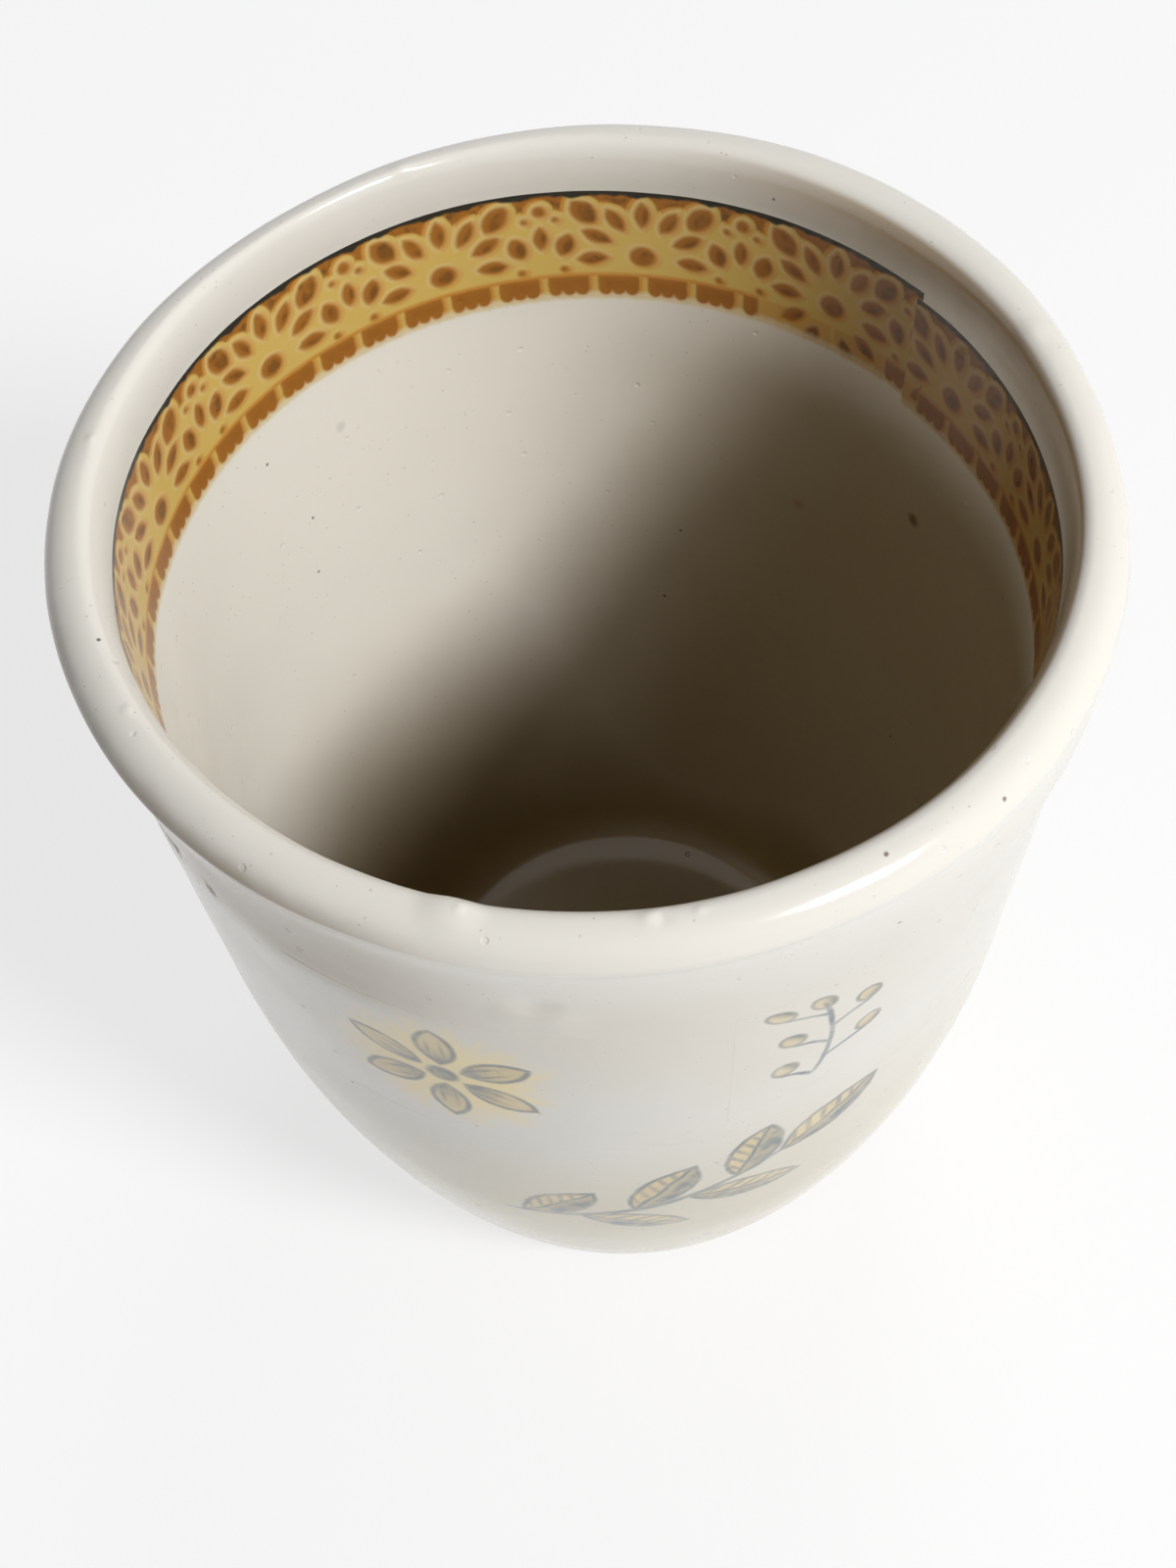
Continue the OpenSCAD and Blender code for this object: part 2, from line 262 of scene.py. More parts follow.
def coat(name, surface, closed):
    """Even coat of glaze under a finished surface."""
    return lathed(name, sunk(surface, 0) + sunk(surface, glaze_t)[::-1], closed=closed)


outside_coat = coat("outside_coat", outside_surface(), closed=True)
inside_coat = coat("inside_coat", inside_surface(), closed=False)

ring_out = corner_c.x - foot_step
ring_in = ring_out - foot_w
foot_outline = [Vector(p) for p in (
    (0, foot_h), (ring_in / 2, foot_h), (ring_in, foot_h), (ring_in, foot_bevel),
    (ring_in + foot_bevel, 0), (ring_out - foot_bevel, 0), (ring_out, foot_bevel),
    (ring_out, under_z + glaze_t))]
clay_pot = lathed("clay_pot",
    foot_outline + sunk(outside_surface(), glaze_t) + sunk(inside_surface(), glaze_t)[1:])


def soft_step(value, start, end):
    """0 at start and 1 at end, with a soft step between, in either direction."""
    share = min(max((value - start) / (end - start), 0), 1)
    return share * share * (3 - 2 * share)


def vertex_share(piece, name, share):
    """Vertex group whose weights are a function of place in millimetres."""
    group = piece.vertex_groups.new(name=name)
    for vertex in piece.data.vertices:
        group.add([vertex.index], share(vertex.co / MM), "REPLACE")


# The neck is soft: the lip flows into the wall, most of all on the right. The pairs say
# where the softness starts and is full.
NECK = "neck under the lip"
NECK_ROUNDS = 300
NECK_FACTOR = 0.5
NECK_LEAST = 0.7
RIGHT_FRONT = 0.8, -0.6
NECK_TOWARDS_RIGHT = -30, 15
NECK_RADIUS = 39.0, 39.6
NECK_FROM_BELOW = 79.0, 84.0
NECK_FROM_ABOVE = 93.6, 92.2


def neck_share(place):
    towards_right = RIGHT_FRONT[0] * place.x + RIGHT_FRONT[1] * place.y
    softness = NECK_LEAST + (1 - NECK_LEAST) * soft_step(towards_right, *NECK_TOWARDS_RIGHT)
    outer = soft_step(math.hypot(place.x, place.y), *NECK_RADIUS)
    return softness * outer * soft_step(place.z, *NECK_FROM_BELOW) * soft_step(place.z, *NECK_FROM_ABOVE)


for piece in (clay_pot, outside_coat):
    select_only(piece)
    vertex_share(piece, NECK, neck_share)
    smoothing = piece.modifiers.new(NECK, "SMOOTH")
    smoothing.factor = NECK_FACTOR
    smoothing.iterations = NECK_ROUNDS
    smoothing.vertex_group = NECK
    bpy.ops.object.modifier_apply(modifier=NECK)

# Bubbles and dents of the glaze, drawn out or pressed in with a soft falloff
CUT_REACH = 1.3


def select_near(piece, place, reach):
    """Selects the vertices within reach of a place, or the nearest one alone."""
    places = np.empty(3 * len(piece.data.vertices), np.float32)
    piece.data.vertices.foreach_get("co", places)
    distances = np.linalg.norm(places.reshape(-1, 3) - place, axis=1)
    limit = reach if reach else distances.min()
    for group in (piece.data.edges, piece.data.polygons):
        group.foreach_set("select", np.zeros(len(group), bool))
    piece.data.vertices.foreach_set("select", distances <= limit)
    bpy.ops.object.mode_set(mode="EDIT")
    bpy.ops.mesh.select_mode(type="VERT")


def draw_out(pieces, az, point, normal, height, reach, cuts=2):
    """Moves a place of the outline along a direction out by height, with all that is within reach."""
    side = Vector((*direction(az), 0))
    place = (side * point.x + Vector((0, 0, point.y))) * MM
    way = side * normal.x + Vector((0, 0, normal.y))
    for piece in pieces:
        select_only(piece)
        select_near(piece, place, CUT_REACH * reach * MM)
        if cuts:
            bpy.ops.mesh.subdivide(number_cuts=cuts)
        bpy.ops.object.mode_set(mode="OBJECT")
        select_near(piece, place, 0)
        bpy.ops.transform.translate(value=way * height * MM, use_proportional_edit=True,
            proportional_edit_falloff="SMOOTH", proportional_size=reach * MM)
        bpy.ops.object.mode_set(mode="OBJECT")


# Direction, height and reach of the bubbles on the crest of the lip, which lean inwards
BUBBLES = ((-106, 0.42, 3.0), (-105, 0.16, 0.8), (-86, 0.17, 1.1), (-84.5, -0.10, 0.9), (-150, 0.10, 0.8),
    (170, 0.12, 0.8), (-81, 0.10, 0.7), (112, 0.14, 1.6), (20, 0.12, 2.0))
BUBBLE_LEAN = Vector((-0.3, 0.95))
# Direction, place up the wall, depth and reach of the dents below the lip
DENTS = ((-98, 85.4, 0.22, 2.6), (-96, 82.6, -0.16, 3.4), (-101, 83.0, -0.12, 2.4), (-70, 62, 0.16, 6.0),
    (-40, 70, 0.2, 7.0), (60, 50, 0.2, 7.0))
# Direction and thickness of the glaze that has filled the neck on the right
FILLS = ((-64, 0.2), (-52, 0.5), (-40, 0.8), (-28, 0.95), (-16, 0.95), (-4, 0.8), (8, 0.5), (20, 0.2))
FILL_DROP, FILL_REACH = 1.0, 9.0
# Direction and place up the wall of the short slits under the lip, on the left
SLITS = ((-152.5, 82.3), (-148.6, 81.2), (-146.4, 80.6), (-139.5, 80.2))
SLIT_DEPTH, SLIT_REACH = 0.3, 0.8

for az, height, reach in BUBBLES:
    draw_out([outside_coat, inside_coat], az, crest, BUBBLE_LEAN, height, reach)
for az, z, depth, reach in DENTS:
    draw_out([outside_coat], az, *wall_point(z), -depth, reach, cuts=1)
for az, thickness in FILLS:
    draw_out([outside_coat], az, *wall_point(neck_z - FILL_DROP), thickness, FILL_REACH, cuts=0)
for az, z in SLITS:
    draw_out([outside_coat], az, *wall_point(z), -SLIT_DEPTH, SLIT_REACH, cuts=4)

# Printed films, which stand just proud of the glaze and share its steps
LACE_PROUD = 0.012
LAP_PROUD = 0.02
WALL_PROUD = 0.006
SUNK = 0.12
PRINT_MAP = "print_mm"


def on_grid(angle):
    """Nearest angle at which the glaze has a row of points."""
    return round(angle / TURN_STEP) * TURN_STEP


def film(name, surface, start, sweep, proud):
    outline = sunk(surface, -proud) + sunk(surface, SUNK)[::-1]
    return lathed(name, outline, on_grid(start), on_grid(sweep), closed=True)


def azimuth(place, near):
    """Direction of a point, within half a turn of a given one."""
    a = math.degrees(math.atan2(place.y, place.x))
    return a + 360 * round((near - a) / 360)


def map_print(piece, middle_az, middle_z, radius, side):
    """UV map in millimetres: across from the middle of the print, and up from it."""
    layer = piece.data.uv_layers.new(name=PRINT_MAP)
    for loop in piece.data.loops:
        place = piece.data.vertices[loop.vertex_index].co
        across = side * math.radians(azimuth(place, middle_az) - middle_az) * radius
        layer.uv[loop.index].vector = (across, place.z / MM - middle_z)


# Lace border: two strips of transfer, the short one stuck a little lower
lace_top = slope_z - 0.2
line_h = 0.7
flower_drop = 6.5
dash_drop = 2.5
dash_h = 2.1
dash_w = 4.1
fringe_h = 1.0
flower_pitch = 18.6
long_flowers = 8
joint_az = 38.0
short_lead = 5.0
strip_gap = 0.4
short_drop = 0.9
lace_h = line_h + flower_drop + dash_drop + dash_h + fringe_h
lace_r = cone_r(lace_top - lace_h / 2)
flower_turn = math.degrees(flower_pitch / lace_r)
gap_turn = math.degrees(strip_gap / lace_r)
long_sweep = long_flowers * flower_turn
short_sweep = 360 - long_sweep - 2 * gap_turn


def lace_strip(name, start, sweep, top, flower_az, proud):
    surface = [inner_point(z) for z in steps_between(top, top - lace_h, WALL_STEP)]
    piece = film(name, surface, start, sweep, proud)
    map_print(piece, start + sweep / 2, top - line_h - flower_drop, lace_r, -1)
    shift = math.radians(start + sweep / 2 - flower_az) * lace_r
    for item in piece.data.uv_layers[PRINT_MAP].uv:
        item.vector.x -= shift
    return piece


long_flower = joint_az + flower_turn / 2
short_flower = joint_az - gap_turn - math.degrees(short_lead / lace_r)
lace_long = lace_strip("lace_strip_long", joint_az, long_sweep, lace_top, long_flower, LACE_PROUD)
lace_short = lace_strip("lace_strip_short", joint_az + long_sweep - gap_turn - 360,
    short_sweep + 3 * gap_turn, lace_top - short_drop, short_flower, LAP_PROUD)

# Outside transfers
branch_az, branch_z = -90.0, 39.0
blossom_az, blossom_z = -111.0, 68.0
sprig_az, sprig_z = -66.0, 70.0


def wall_film(name, az, z, left, right, low, high):
    heights = [h for h in wall_heights if z + low <= h <= z + high]
    radius = wall_r(z)
    piece = film(name, [wall_point(h) for h in heights], az + math.degrees(left / radius),
        math.degrees((right - left) / radius), WALL_PROUD)
    map_print(piece, az, z, radius, 1)
    return piece


branch_film = wall_film("branch_film", branch_az, branch_z, -24, 34, -20, 18)
blossom_film = wall_film("blossom_film", blossom_az, blossom_z, -12.5, 12.5, -10.9, 12)
sprig_film = wall_film("sprig_film", sprig_az, sprig_z, -8, 8, -10.5, 10)

cup_pieces = [clay_pot, outside_coat, inside_coat, lace_long, lace_short,
    branch_film, blossom_film, sprig_film]


# The hand's unevenness, shared by every piece so that they stay together

def clouds(name, size):
    """Slow noise in three directions, for a wave."""
    texture = bpy.data.textures.new(name, "CLOUDS")
    texture.noise_scale = size * MM
    texture.cloud_type = "COLOR"
    texture.noise_depth = 1
    return texture


def out_of_round(place, presses):
    """How far presses move a place, in proportion to its distance from the axis."""
    turns = [(azimuth(place, az) - az, width, amount) for az, width, amount in presses]
    return Vector((place.x, place.y, 0)) / rim_r * sum(
        amount * math.exp(-(turn / width) ** 2) for turn, width, amount in turns)


CAGE_SIZE = Vector((3 * rim_r, 3 * rim_r, 2 * cup_h))
CAGE_KNOTS_ACROSS, CAGE_KNOTS_UP = 13, 9


def cage(name, shift):
    """Lattice round the cup whose knots are shifted by a function of their place from its middle."""
    bpy.ops.object.add(type="LATTICE", location=(0, 0, cup_h * MM / 2))
    made = bpy.context.object
    made.name = name
    made.scale = CAGE_SIZE * MM
    made.data.points_u = made.data.points_v = CAGE_KNOTS_ACROSS
    made.data.points_w = CAGE_KNOTS_UP
    for knot in made.data.points:
        place = knot.co * CAGE_SIZE
        moved = place + shift(place)
        knot.co_deform = [moved[i] / CAGE_SIZE[i] for i in range(3)]
    return made


def lean_and_press(place):
    """Shift that grows from the foot to the lip."""
    height = place.z / cup_h + 0.5
    lean = Vector((LEAN_FOOT + (LEAN_TOP - LEAN_FOOT) * height, 0, 0))
    return lean + height * out_of_round(place, PRESSED_MOUTH)


def press_lip(place):
    return out_of_round(place, PRESSED_LIP)


STEADY = "above the foot"
LIP = "outside of the lip"
# Where the press of the lip starts and is full, outwards and upwards
LIP_RADIUS = 38.0, 41.0
LIP_HEIGHT = 83.0, 90.0


def above_foot(place):
    return soft_step(place.z, foot_h, foot_h + BROAD_WAVE)


def on_lip(place):
    return soft_step(math.hypot(place.x, place.y), *LIP_RADIUS) * soft_step(place.z, *LIP_HEIGHT)


textures = [(clouds(name, size), amount) for name, size, amount in WAVES]
cages = [(cage("leaning", lean_and_press), ""), (cage("pressed lip", press_lip), LIP)]
for piece in cup_pieces:
    select_only(piece)
    vertex_share(piece, STEADY, above_foot)
    vertex_share(piece, LIP, on_lip)
    for texture, amount in textures:
        wave = piece.modifiers.new(texture.name, "DISPLACE")
        wave.texture = texture
        wave.texture_coords = "LOCAL"
        wave.direction = "RGB_TO_XYZ"
        wave.strength = amount * MM
        wave.mid_level = 0.5
        wave.vertex_group = STEADY
        bpy.ops.object.modifier_apply(modifier=wave.name)
    for knots, group in cages:
        bend = piece.modifiers.new(knots.name, "LATTICE")
        bend.object = knots
        bend.vertex_group = group
        bpy.ops.object.modifier_apply(modifier=bend.name)
for knots, group in cages:
    bpy.data.objects.remove(knots)

# Shader wiring


class Wire:
    """An output of a node, on which sums and products can be written."""

    def __init__(self, graph, socket):
        self.graph = graph
        self.socket = socket

    def maths(self, operation, *values):
        inputs = dict(enumerate(values))
        return self.graph.add("ShaderNodeMath", {"operation": operation}, inputs)

    def __add__(self, other):
        return self.maths("ADD", self, other)

    def __radd__(self, other):
        return self.maths("ADD", other, self)

    def __sub__(self, other):
        return self.maths("SUBTRACT", self, other)

    def __rsub__(self, other):
        return self.maths("SUBTRACT", other, self)

    def __mul__(self, other):
        return self.maths("MULTIPLY", self, other)

    def __rmul__(self, other):
        return self.maths("MULTIPLY", other, self)

    def __truediv__(self, other):
        return self.maths("DIVIDE", self, other)

    def __pow__(self, other):
        return self.maths("POWER", self, other)

    def __abs__(self):
        return self.maths("ABSOLUTE", self)

    def least(self, other):
        return self.maths("MINIMUM", self, other)

    def most(self, other):
        return self.maths("MAXIMUM", self, other)

    def whole(self):
        """Nearest whole number."""
        return self.maths("ROUND", self)

    def rise(self, start, end):
        """0 at start and 1 at end, with a soft step between, in either direction."""
        inputs = {"Value": self, "From Min": start, "From Max": end}
        return self.graph.add("ShaderNodeMapRange", {"interpolation_type": "SMOOTHSTEP"}, inputs)


class Graph:
    """Node tree of one material, cleared and ready to be wired."""

    def __init__(self, tree):
        self.tree = tree
        tree.nodes.clear()

    def add(self, kind, settings=None, inputs=None, output=0):
        node = self.tree.nodes.new(kind)
        for name, value in (settings or {}).items():
            setattr(node, name, value)
        for name, value in (inputs or {}).items():
            if isinstance(value, Wire):
                self.tree.links.new(value.socket, node.inputs[name])
            else:
                node.inputs[name].default_value = value
        return Wire(self, node.outputs[output]) if node.outputs else node

    def mix(self, share, first, second, blend="MIX"):
        settings = {"data_type": "RGBA", "blend_type": blend}
        return self.add("ShaderNodeMix", settings, {0: share, 6: first, 7: second}, 2)

    def print_place(self):
        """Place on a print in millimetres: across from its middle, and up from it."""
        return self.parts(self.add("ShaderNodeUVMap", {"uv_map": PRINT_MAP}))[:2]

    def place(self):
        """Object coordinates in millimetres."""
        metres = self.add("ShaderNodeTexCoord", output="Object")
        return self.add("ShaderNodeVectorMath", {"operation": "SCALE"}, {0: metres, "Scale": 1 / MM})

    def parts(self, vector):
        """The three numbers of a vector."""
        return [self.add("ShaderNodeSeparateXYZ", None, {0: vector}, i) for i in range(3)]

    def join(self, x, y, z=0.0):
        return self.add("ShaderNodeCombineXYZ", None, {0: x, 1: y, 2: z})

    def uneven(self, height, vector, amount, size):
        """A height with noise on it, so that what starts there has a wavering edge."""
        return height + amount * self.noise(vector, size)

    def noise(self, vector, size, detail=2.0, roughness=0.5):
        """Noise from 0 to 1 whose lumps are about size apart."""
        inputs = {"Vector": vector, "Scale": 1 / size, "Detail": detail, "Roughness": roughness}
        return self.add("ShaderNodeTexNoise", None, inputs)

    def specks(self, vector, apart, size):
        """1 inside small spots scattered through space, 0 outside."""
        inputs = {"Vector": vector, "Scale": 1 / apart}
        distance = self.add("ShaderNodeTexVoronoi", {"feature": "F1"}, inputs, "Distance")
        return distance.rise(size / apart, 0.5 * size / apart)

    def finish(self, colour, roughness, height):
        """Surface whose bumps have their height in millimetres."""
        bump = self.add("ShaderNodeBump", None, {"Height": height, "Distance": MM, "Strength": 1.0})
        inputs = {"Base Color": colour, "Roughness": roughness, "Normal": bump}
        shader = self.add("ShaderNodeBsdfPrincipled", None, inputs)
        self.add("ShaderNodeOutputMaterial", None, {"Surface": shader})


def material(name):
    made = bpy.data.materials.new(name)
    made.use_nodes = True
    return made, Graph(made.node_tree)


GLAZE = (0.65, 0.615, 0.54, 1)
COOL_GLAZE = (0.67, 0.655, 0.615, 1)
LIP_GLAZE = (0.77, 0.74, 0.675, 1)
INSIDE_GLAZE = (0.88, 0.85, 0.77, 1)
POOLED_GLAZE_AND_SHADE = (0.21, 0.15, 0.065, 1)
FOOT_GLAZE = (0.55, 0.50, 0.37, 1)
BROKEN_GLAZE_AND_SHADE = (0.26, 0.19, 0.10, 1)
SLOPE_SHADE_BROWN = (0.28, 0.18, 0.07, 1)
SPECK = (0.16, 0.12, 0.08, 1)
BLACK_SPECK = (0.05, 0.04, 0.03, 1)
STAIN_BROWN = (0.10, 0.04, 0.012, 1)
STAIN_RED = (0.16, 0.04, 0.03, 1)
# Place, radius, strength and colour of the larger specks and stains
STAINS = (
    ((-37.9, -13.4, 95.9), 0.24, 0.9, BLACK_SPECK),
    ((-39.2, -5.7, 95.8), 0.22, 0.6, BLACK_SPECK),
    ((19.0, -35.8, 95.9), 0.26, 0.8, STAIN_BROWN),
    ((20.6, -35.9, 86.6), 0.28, 0.7, BLACK_SPECK),
    ((28.0, -31.0, 94.8), 0.30, 0.8, STAIN_BROWN),
    ((-24.6, -30.5, 95.8), 0.24, 0.5, BLACK_SPECK),
    ((-17.1, -36.7, 95.9), 0.22, 0.6, BLACK_SPECK),
    ((-36.5, -19.0, 82.3), 0.55, 0.6, BROKEN_GLAZE_AND_SHADE),
    ((-35.1, -21.4, 81.2), 0.75, 0.95, SPECK),
    ((-34.2, -22.7, 80.6), 0.75, 0.9, SPECK),
    ((-31.1, -26.6, 80.2), 0.55, 0.5, BROKEN_GLAZE_AND_SHADE),
    ((30.3, 19.5, 65.7), 1.15, 0.85, STAIN_BROWN),
    ((20.5, 29.1, 57.8), 1.1, 0.35, STAIN_RED),
    ((-23.4, 28.7, 72.3), 0.8, 0.18, STAIN_BROWN),
    ((-21.9, 29.6, 71.0), 0.35, 0.25, STAIN_BROWN))
# Heights at which each tint of the glaze starts and is full
LIP_TINT = cup_h - 14, cup_h
INSIDE_TINT = 92, 80
# The right side of the inside is painted shade. The floor is pooled glaze with painted shade.
RIGHT_SIDE_SHADE, FLOOR_POOL_AND_SHADE = (88, 70), (58, 14)
# Painted shade on the inner slope of the lip, on the right inside
SLOPE_SHADE_FROM, SLOPE_SHADE_TO = (90.5, 94.9), (95.8, 95.3)
# Band under the lip on the left front: partly broken glaze, partly painted shade
BROKEN_AND_SHADE_FROM, BROKEN_AND_SHADE_TO = (77.5, 83.5), (96.1, 93.9)
FOOT_TINT = 62, 34


def pooled_glaze_and_painted_shade(g, p, colour):
    """Whiter glaze below the lace, painted shade in dark brown on the right side, and brown towards the
    floor that is partly pooled glaze and partly painted shade.
    """
    x, y, z = g.parts(p)
    colour = g.mix(g.uneven(z, p, 6, 25).rise(*INSIDE_TINT), colour, INSIDE_GLAZE)
    # Painted shade: dark brown on the right side of the inside, where the rim's shadow falls
    shade_on_right = g.uneven(x - 0.35 * z, p, 8, 30).rise(-30, 9) * z.rise(*RIGHT_SIDE_SHADE)
    # Darker brown towards the floor: pooled glaze and painted shade
    on_floor = g.uneven(z, p, 12, 30).rise(*FLOOR_POOL_AND_SHADE)
    return g.mix((0.9 * shade_on_right).most(on_floor), colour, POOLED_GLAZE_AND_SHADE)


def painted_slope_shade(g, p, colour):
    """Painted shade in brown on the inner slope below the crest, on the right inside."""
    x, y, z = g.parts(p)
    edge = g.uneven(z, p, 0.5, 4).rise(*SLOPE_SHADE_FROM) * z.rise(*SLOPE_SHADE_TO)
    return g.mix(0.8 * edge * x.rise(4, 30), colour, SLOPE_SHADE_BROWN)


def wall_tints(g, p, colour):
    """Brown band under the lip on the left front, partly broken glaze and partly painted shade, and a
    warmer tint towards the foot.
    """
    x, y, z = g.parts(p)
    under = g.uneven(z, p, 3, 6).rise(*BROKEN_AND_SHADE_FROM) * g.uneven(z, p, 1, 5).rise(*BROKEN_AND_SHADE_TO)
    on_left_front = (x - 0.3 * y).rise(5, -20) * y.rise(2, -15)
    # Painted shade with broken glaze: a brown band under the lip, on the left front
    colour = g.mix(0.85 * under * on_left_front, colour, BROKEN_GLAZE_AND_SHADE)
    return g.mix(g.uneven(z, p, 6, 12).rise(*FOOT_TINT), colour, FOOT_GLAZE)


def with_stains(g, p, colour):
    for place, size, share, ink in STAINS:
        distance = g.add("ShaderNodeVectorMath", {"operation": "DISTANCE"}, {0: p, 1: place}, "Value")
        patch = (distance + 0.5 * size * (g.noise(p, size) - 0.5)).rise(size, 0.4 * size)
        colour = g.mix(share * patch, colour, ink)
    return colour


def glaze_colour(g, p, inside_with_shade=False):
    """Clear glaze over pale clay, whiter on the lip, with its tints, stains and iron specks; some of the
    tints are painted shade.
    """
    colour = g.mix(0.8 * g.noise(p, 30, 3).rise(0.35, 0.7), GLAZE, COOL_GLAZE)
    if inside_with_shade:
        colour = pooled_glaze_and_painted_shade(g, p, colour)
    height = g.parts(p)[2]
    colour = g.mix(0.85 * g.uneven(height, p, 3, 12).rise(*LIP_TINT), colour, LIP_GLAZE)
    colour = painted_slope_shade(g, p, colour) if inside_with_shade else wall_tints(g, p, colour)
    colour = with_stains(g, p, colour)
    fine = g.specks(p, apart=1.1, size=0.14) * g.noise(p, 7).rise(0.42, 0.62)
    colour = g.mix(0.3 * fine, colour, SPECK)
    return g.mix(0.8 * g.specks(p, apart=7.3, size=0.22), colour, BLACK_SPECK)


def glaze_bump(g, p):
    """Height of the glaze in millimetres: orange peel, small craters and slow runs."""
    peel = 0.012 * g.noise(p, 1.6)
    runs = 0.05 * g.noise(p, 7, detail=1)
    return peel + runs - 0.05 * g.specks(p, apart=4.0, size=0.35)


def glaze_finish(name, inside_with_shade):
    made, g = material(name)
    p = g.place()
    g.finish(glaze_colour(g, p, inside_with_shade), 0.1 + 0.1 * g.noise(p, 4), glaze_bump(g, p))
    return made


PALE_CLAY = (0.68, 0.58, 0.45, 1)
DARK_CLAY = (0.52, 0.43, 0.31, 1)


def clay_finish():
    made, g = material("bare clay")
    p = g.place()
    grit = g.noise(p, 0.6, detail=4)
    colour = g.mix(grit, DARK_CLAY, PALE_CLAY)
    colour = g.mix(0.7 * g.specks(p, apart=1.4, size=0.3), colour, SPECK)
    g.finish(colour, 0.75 + 0.15 * grit, 0.06 * grit)
    return made


# Lace transfer


def lens(x, y, length, width):
    """Distance out of a pointed oval that stands along y, negative inside it."""
    radius = (length ** 2 + width ** 2) / (4 * width)
    side = abs(x) + (radius - width / 2)
    return (side * side + y * y) ** 0.5 - radius


def round_spot(x, y, radius):
    """Distance out of a circle, negative inside it."""
    return (x * x + y * y) ** 0.5 - radius


def clock_angle(x, y):
    """Direction of a place from the middle, in degrees clockwise from straight up."""
    return x.maths("ARCTAN2", x, y) * (180 / math.pi)


def along_petal(reach, angle, petal, petal_turn):
    """Place across and along a numbered petal, from a reach and an angle round the flower."""
    off = (angle - petal * petal_turn) * (math.pi / 180)
    return reach * off.maths("SINE", off), reach * off.maths("COSINE", off)


def turned(x, y, angle):
    """Place in a shape that is turned by angle, anticlockwise."""
    c, s = math.cos(math.radians(angle)), math.sin(math.radians(angle))
    return x * c + y * s, y * c - x * s


# One flower of the lace, from its middle, and what lies beside it
PETAL_TURN = 31.3
PETALS_EACH_SIDE = 3
PETAL_REACH, PETAL_LENGTH, PETAL_WIDTH = 4.7, 2.9, 1.4
HUB_R, HUB_STRETCH = 1.1, 0.9
# Place, turn, length and width of the leaf-shaped openings, and place and radius of the dots
LEAF_OPENINGS = (((5.3, 4.9), -40, 3.2, 2.1), ((7.1, 1.3), 20, 2.6, 1.7), ((9.3, 2.2), 0, 2.6, 1.3))
DOT_OPENINGS = (((7.3, -1.5), 0.35), ((9.3, 5.2), 0.6), ((7.9, 4.2), 0.3))
# Heights at which the gaps between the tops start, and at which the net ends above the dashes
GAP_HEIGHTS, NET_HEIGHTS = (4.0, 4.7), (-2.2, -1.8)
# Distances at which the ink starts and is full, round an opening, in a gap and on a dash
OPENING_EDGE, GAP_EDGE, DASH_EDGE = (0.28, -0.3), (0.62, 0.95), (0.22, -0.18)
# Lobes under a dash, and the bar that carries them
dash_pitch = flower_pitch / 4
LOBE_R, LOBE_HALF_PITCH = 0.58, 0.62
BAR_TOP, BAR_FOOT, BAR_INSET = 0.2, -1.6, 0.15


def lace_openings(g, x, y, all_round):
    """Distance out of the openings round one flower, whose middle is the origin."""
    angle = clock_angle(x, y)
    last = PETALS_EACH_SIDE + PETALS_EACH_SIDE * all_round
    petal = (angle / PETAL_TURN).whole().most(-1 * last).least(last)
    across, out = along_petal((x * x + y * y) ** 0.5, angle, petal, PETAL_TURN)
    found = lens(across, out - PETAL_REACH, PETAL_LENGTH, PETAL_WIDTH)
    found = found.least(round_spot(x * HUB_STRETCH, y, HUB_R))
    side = abs(x)
    for (at_x, at_y), turn, length, width in LEAF_OPENINGS:
        found = found.least(lens(*turned(side - at_x, y - at_y, turn), length, width))
    for (at_x, at_y), radius in DOT_OPENINGS:
        found = found.least(round_spot(side - at_x, y - at_y, radius))
    return found


def lace_dash(x, y):
    """Distance out of the dashes, each a bar with bevelled ends over three lobes."""
    dash = x / dash_pitch
    across = abs((dash - dash.maths("FLOOR", dash) - 0.5) * dash_pitch)
    up_dash = y + dash_drop
    lobe = round_spot(abs(across - LOBE_HALF_PITCH) - LOBE_HALF_PITCH, up_dash + dash_h - LOBE_R, LOBE_R)
    bar = (up_dash - BAR_TOP).most(BAR_FOOT - up_dash).most(across - dash_w / 2 + BAR_INSET)
    return lobe.least(bar.most(0.7 * (across - up_dash) - 2.35))


def lace_plate(g, x, y, joint):
    """Share of brown ink, the distance that shades it and the share of the dashes on the strip."""
    wobble = 0.25 * (g.noise(g.join(x, y), 1.2) - 0.5)
    flower = x / flower_pitch
    hole = lace_openings(g, (flower - flower.whole()) * flower_pitch, y, joint) + wobble
    gap = hole.rise(*GAP_EDGE) * y.rise(*GAP_HEIGHTS)
    net = hole.rise(*OPENING_EDGE).most(gap) * y.rise(*NET_HEIGHTS).most(joint)
    dash = lace_dash(x, y) + wobble
    dashes = dash.rise(*DASH_EDGE) * (1 - joint)
    return net.most(dashes), hole.least(dash), dashes


LACE_YELLOW = (0.66, 0.455, 0.105, 1)
LACE_PALE = (0.75, 0.555, 0.26, 1)
LACE_BROWN = (0.36, 0.135, 0.022, 1)
LACE_DARK = (0.17, 0.07, 0.016, 1)
LACE_ORANGE = (0.58, 0.24, 0.04, 1)
LINE_INK = (0.035, 0.034, 0.026, 1)
FRINGE_CREAM = (0.78, 0.68, 0.46, 1)
LACE_PAINTED_SHADE = (0.42, 0.32, 0.20, 1)


INK_SHIFT = (-0.35, 0.2)
line_z = flower_drop + 0.25
foot_z = -dash_drop - dash_h


